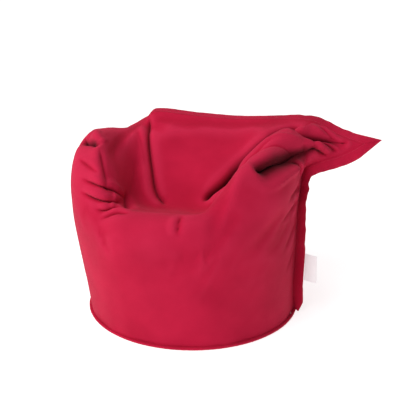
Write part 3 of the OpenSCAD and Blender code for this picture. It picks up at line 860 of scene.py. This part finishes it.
def flange_course(seam, dirs, corners, count):
    """A flange's seam and its offset to the outer edge, at evenly spaced points."""
    last = len(dirs) - 1
    t = np.linspace(0, last, count)
    source = np.linspace(0, last, len(seam))
    line = between(t, source, seam)
    course = spline(dirs, 24)
    offset = unit(between(t, np.linspace(0, last, len(course)), course)) * FLANGE_W
    for end, corner in corners:
        share = np.clip(1 - abs(t - end) / MITRE, 0, 1)[:, None]
        offset = (1 - share) * offset + share * np.array(corner) * MM
    return line, offset


def add_flange(name, seam, dirs, corners, waves, node, steady=None):
    """Adds a flange and returns its rows of stitches.

    waves: (height mm, length mm, phase) of each ripple in its free edge; steady: where it is calm.
    """
    count = int(len(seam) * 2.4)
    line, offset = flange_course(seam, dirs, corners, count)
    along = unit(np.gradient(line, axis=0))
    face = unit(np.cross(along, offset))
    s = distances(line)
    ripple = sum(h * MM * np.sin(2 * math.pi * s / (length * MM) + phase) for h, length, phase in waves)
    ends = np.clip(np.minimum(s, s[-1] - s) / 0.05, 0, 1)
    calm = ends if steady is None else ends * steady(line)
    t = np.linspace(-FLANGE_ROOT, 1, FLANGE_ACROSS)
    out = np.clip(t, 0, 1)
    lift = ripple[:, None] * calm[:, None] * out ** 1.5
    pucker = 0.25 * MM * (np.sin(s * 430 + 3 * np.sin(s * 47)) * (1 + np.sin(s * 61 + 1)))[:, None]
    groove = sum(bell((t - row) / 0.05) for row in STITCH_LINES)
    lift = lift + pucker * groove
    grid = line[:, None] + t[None, :, None] * offset[:, None] + lift[..., None] * face[:, None]
    thick = FLANGE_T + 0.9 * MM * np.sin(math.pi * out) ** 2 - 1.0 * MM * groove
    # Paler along the rubbed outer edge from wear; darker in the stitch grooves and at the seam, which
    # is painted shade.
    wear_and_shade = 0.9 * bell((1 - t) / 0.07) - 0.45 * groove - 0.9 * bell(out / 0.07)
    n = np.repeat(face[:, None], len(t), 1)
    if (normals(grid) * n).sum() < 0:
        grid, n = grid[::-1], n[::-1]
    obj = shell(name, grid, thick, cover_mat, n, np.repeat(wear_and_shade[None], len(line), 0), centred=True)
    piece(obj, "cover_cloth", node)
    width = 1 + FLANGE_ROOT
    runs = []
    for row in STITCH_LINES:
        k = int(round((row + FLANGE_ROOT) / width * (FLANGE_ACROSS - 1)))
        for side in (1, -1):
            runs.append((grid[:, k] + side * n[:, k] * (thick[k] / 2 + 0.1 * MM), n[len(n) // 2, k]))
    return runs


def beside_label(line):
    """0 where the label is sewn in, so the edge stays at its hinge, and 1 away from it."""
    z = line[:, 2] / MM
    return np.clip(np.maximum(118 - z, z - 236) / 25, 0, 1) * np.where(z < 430, 0.55, 1.0)


def along_crest(line):
    """Near 0 along the crest between the arms, where the flange lies back, and 1 in the ear."""
    x = line[:, 0] / MM
    return 0.1 + 0.35 * np.clip((x - 260) / 90, 0, 1)


def add_flanges():
    right_seam = front[NU].copy()
    left_seam = front[0].copy()
    right_seam[0, 2] = left_seam[0, 2] = FLANGE_BOTTOM
    runs = add_flange("flange_right", right_seam, RIGHT_DIRS,
                      [(0, RIGHT_FOOT), (LAST_ROW, RIGHT_CORNER)],
                      [(3.2, 150, 0.4), (2.4, 74, 1.9), (1.5, 37, 0.3)], "right_flange", beside_label)
    runs += add_flange("flange_left", left_seam, LEFT_DIRS, [(LAST_ROW, LEFT_CORNER)],
                       [(2.0, 105, 2.1), (1.2, 49, 0.4)], "left_flange")
    runs += add_flange("flange_top", front[:, NV], TOP_DIRS,
                       [(0, LEFT_CORNER), (LAST_COL, RIGHT_CORNER)],
                       [(2.2, 140, 1.0), (1.8, 63, 2.3), (1.3, 34, 0.9)], "top_flange", along_crest)
    piece(stitches("flange_stitching", runs, thread_mat), "cover_cloth")


# ---- Base, its hems and the piping ----
BASE_R = 359.5 * MM
BASE_T = 1.5 * MM
RIM_R = 15 * MM         # the base's edge turns up with this radius
RIM_WIDTH = 13.5 * MM
ZIP_Y = 120 * MM
ZIP_HALF = 280 * MM
SLOT_HALF = 6 * MM
LINER_ZIP_Y = -100 * MM
LINER_ZIP_HALF = 150 * MM
HEM_W = 14 * MM
HEM_T = 1.4 * MM


def base_grid(side, radius, zip_y, zip_half, slot_half, rim, nu=200, nv=64):
    """Part of a round base, from the zip's line (first row) out to the rim (last row)."""
    right = math.asin(zip_y / radius)
    left = math.pi - right
    start, end = (left, right + 2 * math.pi) if side < 0 else (right, left)
    angle = np.linspace(start, end, nu)
    just_short = 1 - 0.000001       # of the rim
    x = side * radius * math.cos(right) * just_short * np.linspace(1, -1, nu)
    open_here = np.clip((zip_half + 6 * MM - abs(x)) / (4 * MM), 0, 1)
    inner = np.stack([x, zip_y + side * slot_half * open_here], 1)
    outer = radius * np.stack([np.cos(angle), np.sin(angle)], 1)
    t = 1 - (1 - np.linspace(0, 1, nv)) ** 1.7
    xy = inner[:, None] * (1 - t)[None, :, None] + outer[:, None] * t[None, :, None]
    wave = np.sin(xy[..., 0] * 61 + 1.3 * np.sin(xy[..., 1] * 43)) * np.sin(xy[..., 1] * 53)
    z = 0.3 * MM * (1 + wave)
    if rim:
        over = np.clip(np.linalg.norm(xy, axis=2) - (radius - RIM_WIDTH), 0, RIM_WIDTH)
        z = z * (over == 0) + RIM_R - np.sqrt(RIM_R ** 2 - over ** 2)
    return np.concatenate([xy, z[..., None]], 2)


def floor_part(name, grid, thick, material, wear_and_shade):
    """A sheet that lies flat, with its outer face down."""
    down = np.zeros_like(grid)
    down[..., 2] = -1
    return shell(name, grid, thick, material, down, wear_and_shade)


def add_base_part(name, side, node):
    grid = base_grid(side, BASE_R, ZIP_Y, ZIP_HALF, SLOT_HALF, True)
    from_slot = side * (grid[..., 1] - ZIP_Y) - SLOT_HALF
    hem = (from_slot < HEM_W) & (abs(grid[..., 0]) < ZIP_HALF)
    thick = BASE_T + HEM_T * hem
    grid[..., 2] += thick
    obj = floor_part(name, grid, thick, cover_mat, 0.5 * bell(from_slot / (1.5 * MM)))
    piece(obj, "cover_cloth", node)
    x = np.linspace(-ZIP_HALF, ZIP_HALF, 80)
    rows = []
    for inset in (3 * MM, HEM_W - 3 * MM):
        y = ZIP_Y + side * (SLOT_HALF + inset)
        rows.append((np.stack([x, 0 * x + y, 0 * x + 0.12 * MM], 1), (0, 0, 1)))
    return rows


PIPING_R = 366.6 * MM       # the ring it lies on
PIPING_Z = 5 * MM
PIPING_HALF = 4 * MM
PIPING_COUNT = 720
PIPING_SIDES = 20


def add_piping():
    a = np.arange(PIPING_COUNT)
    gathers = 1.05 + 0.03 * np.sin(a * 2 * math.pi / 6) + 0.02 * np.sin(a * 2 * math.pi / 9 + 1.0)
    turn = np.arange(PIPING_SIDES) * 2 * math.pi / PIPING_SIDES
    # The tongue that is caught in the seam, on the inner upper side
    tongue = bell((turn - math.radians(148)) / 0.42)
    section = circle(PIPING_SIDES) * (1 + 0.9 * tongue)[:, None]
    round_base = a * 2 * math.pi / PIPING_COUNT
    r = PIPING_R + 0.15 * MM * np.sin(round_base * 23 + 2 * np.sin(round_base * 5))
    path = np.concatenate([r[:, None] * circle(PIPING_COUNT), np.full((PIPING_COUNT, 1), PIPING_Z)], 1)
    obj = tube("piping", path, PIPING_HALF * gathers, cover_mat, closed=True, section=section)
    span = np.repeat(round_base * PIPING_R, PIPING_SIDES)
    cloth = np.stack([span, np.tile(turn * PIPING_HALF, PIPING_COUNT), 0 * span], 1)
    set_attribute(obj, "cloth", cloth)
    # Paler along the outer side; darker on the tongue caught in the seam, which is painted shade.
    wear_and_shade = 0.8 * bell((turn - math.radians(10)) / 0.7) - 0.9 * tongue
    set_attribute(obj, "wear_and_shade", np.tile(wear_and_shade, PIPING_COUNT))
    piece(obj, "cover_cloth", "piping_cover")


def add_base():
    runs = add_base_part("base_cloth_front", -1, "base_front")
    runs += add_base_part("base_cloth_rear", 1, "base_rear")
    piece(stitches("base_stitching", runs, thread_mat), "cover_cloth")
    add_piping()


# ---- Side label ----
LABEL_ANGLE = math.atan2(-0.42, 0.9)
LABEL_W, LABEL_H, LABEL_T, LABEL_Z = 45 * MM, 98 * MM, 1 * MM, 128 * MM


def add_label():
    low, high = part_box("side_label")
    hinge = np.array([low[0] + LABEL_T / 2, high[1] - LABEL_T / 2, LABEL_Z])
    out = np.array([math.cos(LABEL_ANGLE), math.sin(LABEL_ANGLE), 0])
    side = np.array([-out[1], out[0], 0])
    up = np.array([0, 0, 1.0])
    u, v = np.meshgrid(np.linspace(0, 1, 25), np.linspace(0, 1, 45), indexing="ij")
    reach = (LABEL_W - 1.0 * MM) * u - 0.4 * MM
    bend = (5.0 * u ** 2 + 1.4 * u * np.sin(v * 5.0 + 0.6)) * MM
    rise = v * LABEL_H - 1.5 * MM * u
    grid = hinge + reach[..., None] * out + bend[..., None] * side + rise[..., None] * up
    selvedge = bell(np.minimum(v, 1 - v) * LABEL_H / (2 * MM))
    hem = 0.35 * MM * bell((1 - u) * LABEL_W / (1.5 * MM))
    obj = shell("label", grid, LABEL_T * 0.8 + hem, label_material(), None, selvedge, centred=True)
    piece(obj, "label_cloth", "side_label", body="side_label")
    n = normals(grid)
    white = thread_material("label_thread", (0.85, 0.85, 0.87), (0.6, 0.6, 0.62))
    runs = [(grid[2, 1:-1] + face * n[2, 1:-1] * 0.45 * MM, face * side) for face in (1, -1)]
    obj = stitches("label_stitching", runs, white, 3.4 * MM, 0.3 * MM)
    piece(obj, "label_cloth", body="side_label")


# ---- Liner and filling ----
LINER_R = 355 * MM
LINER_FLOOR = 9.4 * MM      # height of the liner's base
LINER_FLOOR_T = 1.2 * MM
LINER_SLOT_HALF = 5 * MM
# How deep in the cover each surface lies, and at most what share of the way through
LINER_OUTER = (2.5 * MM, 0.2)
LINER_INNER = (3.6 * MM, 0.3)
BEADS = (5.5 * MM, 0.42)


def inwards_from(fi, bi, count):
    """The way in from each point: against the plain surface, and midway between panels at a seam."""
    way = np.zeros((count, 3))
    n_front, n_back = outwards(front_plain), outwards(back_plain)
    way[bi] = -n_back
    way[fi] = -n_front
    seams = [(fi[0], n_front[0] + n_back[-1], (front[1] + back[-2]) / 2 - front[0]),
             (fi[-1], n_front[-1] + n_back[0], (front[-2] + back[1]) / 2 - front[-1]),
             (fi[1:-1, -1], n_front[1:-1, -1] + n_back[-2:0:-1, -1],
              (front[1:-1, -2] + back[-2:0:-1, -2]) / 2 - front[1:-1, -1])]
    for index, both, midway in seams:
        round_here = np.linalg.norm(both, axis=1, keepdims=True) > 0.8
        way[index] = np.where(round_here, -unit(both), unit(midway))
    return unit(way)


def drawn_from_corners(points):
    """The liner and the beads don't reach right into the two corners of the top seam."""
    left_middle = (at(front, 0.5, 7.5) + at(back, LAST_COL - 0.5, 7.5)) / 2
    right_middle = (at(front, 11.2, 6.9) + at(back, 0.8, 6.9)) / 2
    for corner, middle, reach in ((front[0, -1], left_middle, 45), (front[-1, -1], right_middle, 120)):
        near = np.clip(1 - np.linalg.norm(points - corner, axis=1) / (reach * MM), 0, 1)[:, None]
        points = points + (middle - points) * 0.6 * near
    return points


def behind_cover(points, tree, depth, rounds=3):
    """Moves any point that lies outside the cover, or too close behind it, to that depth inside."""
    points = points.copy()
    for _ in range(rounds):
        for k, p in enumerate(points.tolist()):
            place, normal, *_ = tree.find_nearest(Vector(p))
            if (Vector(p) - place).dot(normal) > -0.4 * depth:
                points[k] = place - normal * depth
    return points


def inner_bag(depth, share):
    """Both panels as one ring, moved in by a depth or a share of the way through."""
    verts, faces, fi, bi = tube_mesh(front, back)
    way = inwards_from(fi, bi, len(verts))
    tree = BVHTree.FromPolygons(verts.tolist(), faces)
    start = verts + way * 0.5 * MM
    through = np.full(len(verts), 1.0)
    for k, (p, w) in enumerate(zip(start.tolist(), way.tolist())):
        hit = tree.ray_cast(Vector(p), Vector(w), 0.05)
        if hit[0] is not None:
            through[k] = hit[3]
    out = verts + way * np.minimum(depth, share * through)[:, None]
    out = behind_cover(drawn_from_corners(out), tree, 0.6 * depth)
    floor_ring = [int(k) for k in [*fi[:, 0], *bi[1:-1, 0]]]
    out[floor_ring, 2] = LINER_FLOOR
    return out, faces, floor_ring


def add_filling():
    verts, faces, floor_ring = inner_bag(*BEADS)
    middle = len(verts)
    verts = np.concatenate([verts, [[0, 0, LINER_FLOOR]]])
    faces = faces + [[b, a, middle] for a, b in pairs_round(floor_ring)]
    obj = new_object("bead_heap", verts, faces, bead_material())
    piece(obj, "beads", "bead_fill")


def add_liner():
    liner_mat = liner_material()
    outer, faces, floor_ring = inner_bag(*LINER_OUTER)
    inner = inner_bag(*LINER_INNER)[0]
    size = len(outer)
    skin = faces + [[k + size for k in reversed(f)] for f in faces]
    skin += [[b, a, a + size, b + size] for a, b in pairs_round(floor_ring)]
    obj = new_object("liner", np.concatenate([outer, inner]), skin, liner_mat)
    piece(obj, "liner_cloth", "liner_bag")
    for name, side in (("liner_floor_front", -1), ("liner_floor_rear", 1)):
        grid = base_grid(side, LINER_R, LINER_ZIP_Y, LINER_ZIP_HALF, LINER_SLOT_HALF, False)
        grid[..., 2] = LINER_FLOOR
        obj = floor_part(name, grid, LINER_FLOOR_T, liner_mat, np.zeros(grid.shape[:2]))
        piece(obj, "liner_cloth", "liner_base")


# ---- Zips ----
COIL_PITCH = 2.0 * MM
COIL_WIRE_R = 0.33 * MM
COIL_OUT = 2.1 * MM         # from the zip's middle to the coil's
COIL_STEPS = 8              # points to each turn


def coil_of_wire(name, side, y, z, half, material):
    """A nylon coil: one monofilament wound along the tape's edge."""
    turns = int(2 * half / COIL_PITCH)
    t = np.arange(turns * COIL_STEPS + 1) / COIL_STEPS
    turn = t * 2 * math.pi + (0 if side < 0 else math.pi)
    y = y + side * COIL_OUT + 1.0 * MM * np.cos(turn)
    z = z + 0.85 * MM * np.sin(turn)
    path = np.stack([-half + t / turns * 2 * half, y, z], 1)
    return tube(name, path, COIL_WIRE_R, material, sides=4)


def middle_height(node):
    low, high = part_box(node)
    return (low[2] + high[2]) / 2


def recolour(node, material):
    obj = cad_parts[node]
    obj.data.materials.clear()
    obj.data.materials.append(material)


def add_zips():
    metal = metal_material("zip_metal")
    for node in ("zip_stops", "zip_slider", "zip_pull", "liner_zip_stops", "liner_zip_slider"):
        recolour(node, metal)
    recolour("piping_cord", cord_material())
    black_tape = tape_material("zip_tape", (0.045, 0.045, 0.05), (0.012, 0.012, 0.014))
    white_tape = tape_material("liner_zip_tape", (0.86, 0.86, 0.84), (0.62, 0.62, 0.60))
    black_coil = plastic_material("zip_coil", (0.035, 0.035, 0.04), (0.012, 0.012, 0.014))
    white_coil = plastic_material("liner_zip_coil", (0.86, 0.86, 0.84), (0.70, 0.70, 0.68))
    for side, word in ((-1, "front"), (1, "rear")):
        for kind, tape, coil, y, half in (
                ("", black_tape, black_coil, ZIP_Y, ZIP_HALF),
                ("liner_", white_tape, white_coil, LINER_ZIP_Y, LINER_ZIP_HALF)):
            recolour(f"{kind}zip_tape_{word}", tape)
            z = middle_height(kind + "zip_coil_front")
            obj = coil_of_wire(f"{kind}coil_{word}", side, y, z, half, coil)
            piece(obj, kind + "zip_coil", f"{kind}zip_coil_{word}")


add_panels()
add_flanges()
add_base()
add_label()
add_filling()
add_liner()
add_zips()


# ---- Camera, floor and lights ----
FLOOR_HALF = 900        # metres, so that the floor fills the view in every direction
CAMERA_AZIMUTH, CAMERA_ELEVATION = math.radians(14), math.radians(19)
CAMERA_DISTANCE = 2.7
CAMERA_TARGET = (0.0238, 0.0059, 0.3783)
CAMERA_LENS = 70.37     # on a sensor 36 mm wide


def add_camera():
    azimuth, elevation = CAMERA_AZIMUTH, CAMERA_ELEVATION
    back_dir = Vector((math.sin(azimuth) * math.cos(elevation),
                       -math.cos(azimuth) * math.cos(elevation), math.sin(elevation)))
    cam_data = bpy.data.cameras.new("camera")
    cam_data.lens = CAMERA_LENS
    cam_data.sensor_width = 36
    cam = add_object("camera", cam_data)
    cam.location = Vector(CAMERA_TARGET) + back_dir * CAMERA_DISTANCE
    cam.rotation_euler = back_dir.to_track_quat("Z", "Y").to_euler()
    bpy.context.scene.camera = cam


def add_light(name, kind, location, target, energy, **props):
    data = bpy.data.lights.new(name, kind)
    data.energy = energy
    for key, value in props.items():
        setattr(data, key, value)
    obj = add_object(name, data)
    obj.location = location
    obj.rotation_euler = (Vector(location) - Vector(target)).to_track_quat("Z", "Y").to_euler()


def add_stage():
    bpy.context.scene.view_settings.view_transform = "Standard"
    corners = [(-1, -1, 0), (1, -1, 0), (1, 1, 0), (-1, 1, 0)]
    mat = bpy.data.materials.new("floor")
    mat.use_nodes = True
    for socket, value in (("Base Color", (0.6, 0.6, 0.6, 1)), ("Roughness", 0.7),
                          ("Specular IOR Level", 0.1), ("Emission Color", (1, 1, 1, 1)),
                          ("Emission Strength", 0.76)):
        mat.node_tree.nodes["Principled BSDF"].inputs[socket].default_value = value
    new_object("floor", np.array(corners) * FLOOR_HALF, [(0, 1, 2, 3)], mat)
    world = bpy.data.worlds.new("studio")
    bpy.context.scene.world = world
    world.use_nodes = True
    bg = world.node_tree.nodes["Background"]
    bg.inputs["Color"].default_value = (1, 1, 1, 1)
    bg.inputs["Strength"].default_value = 0.24
    add_light("sky", "SUN", (-1.4, -2.3, 2.7), (0, 0, 0), 1.4, angle=math.radians(40))
    add_light("key", "AREA", (-2.1, -1.3, 2.0), (-0.1, 0, 0.4), 27, size=1.0)
    add_light("top", "AREA", (-0.5, 0.7, 3.0), (0, 0, 0.3), 18, size=2.2)


add_camera()
add_stage()
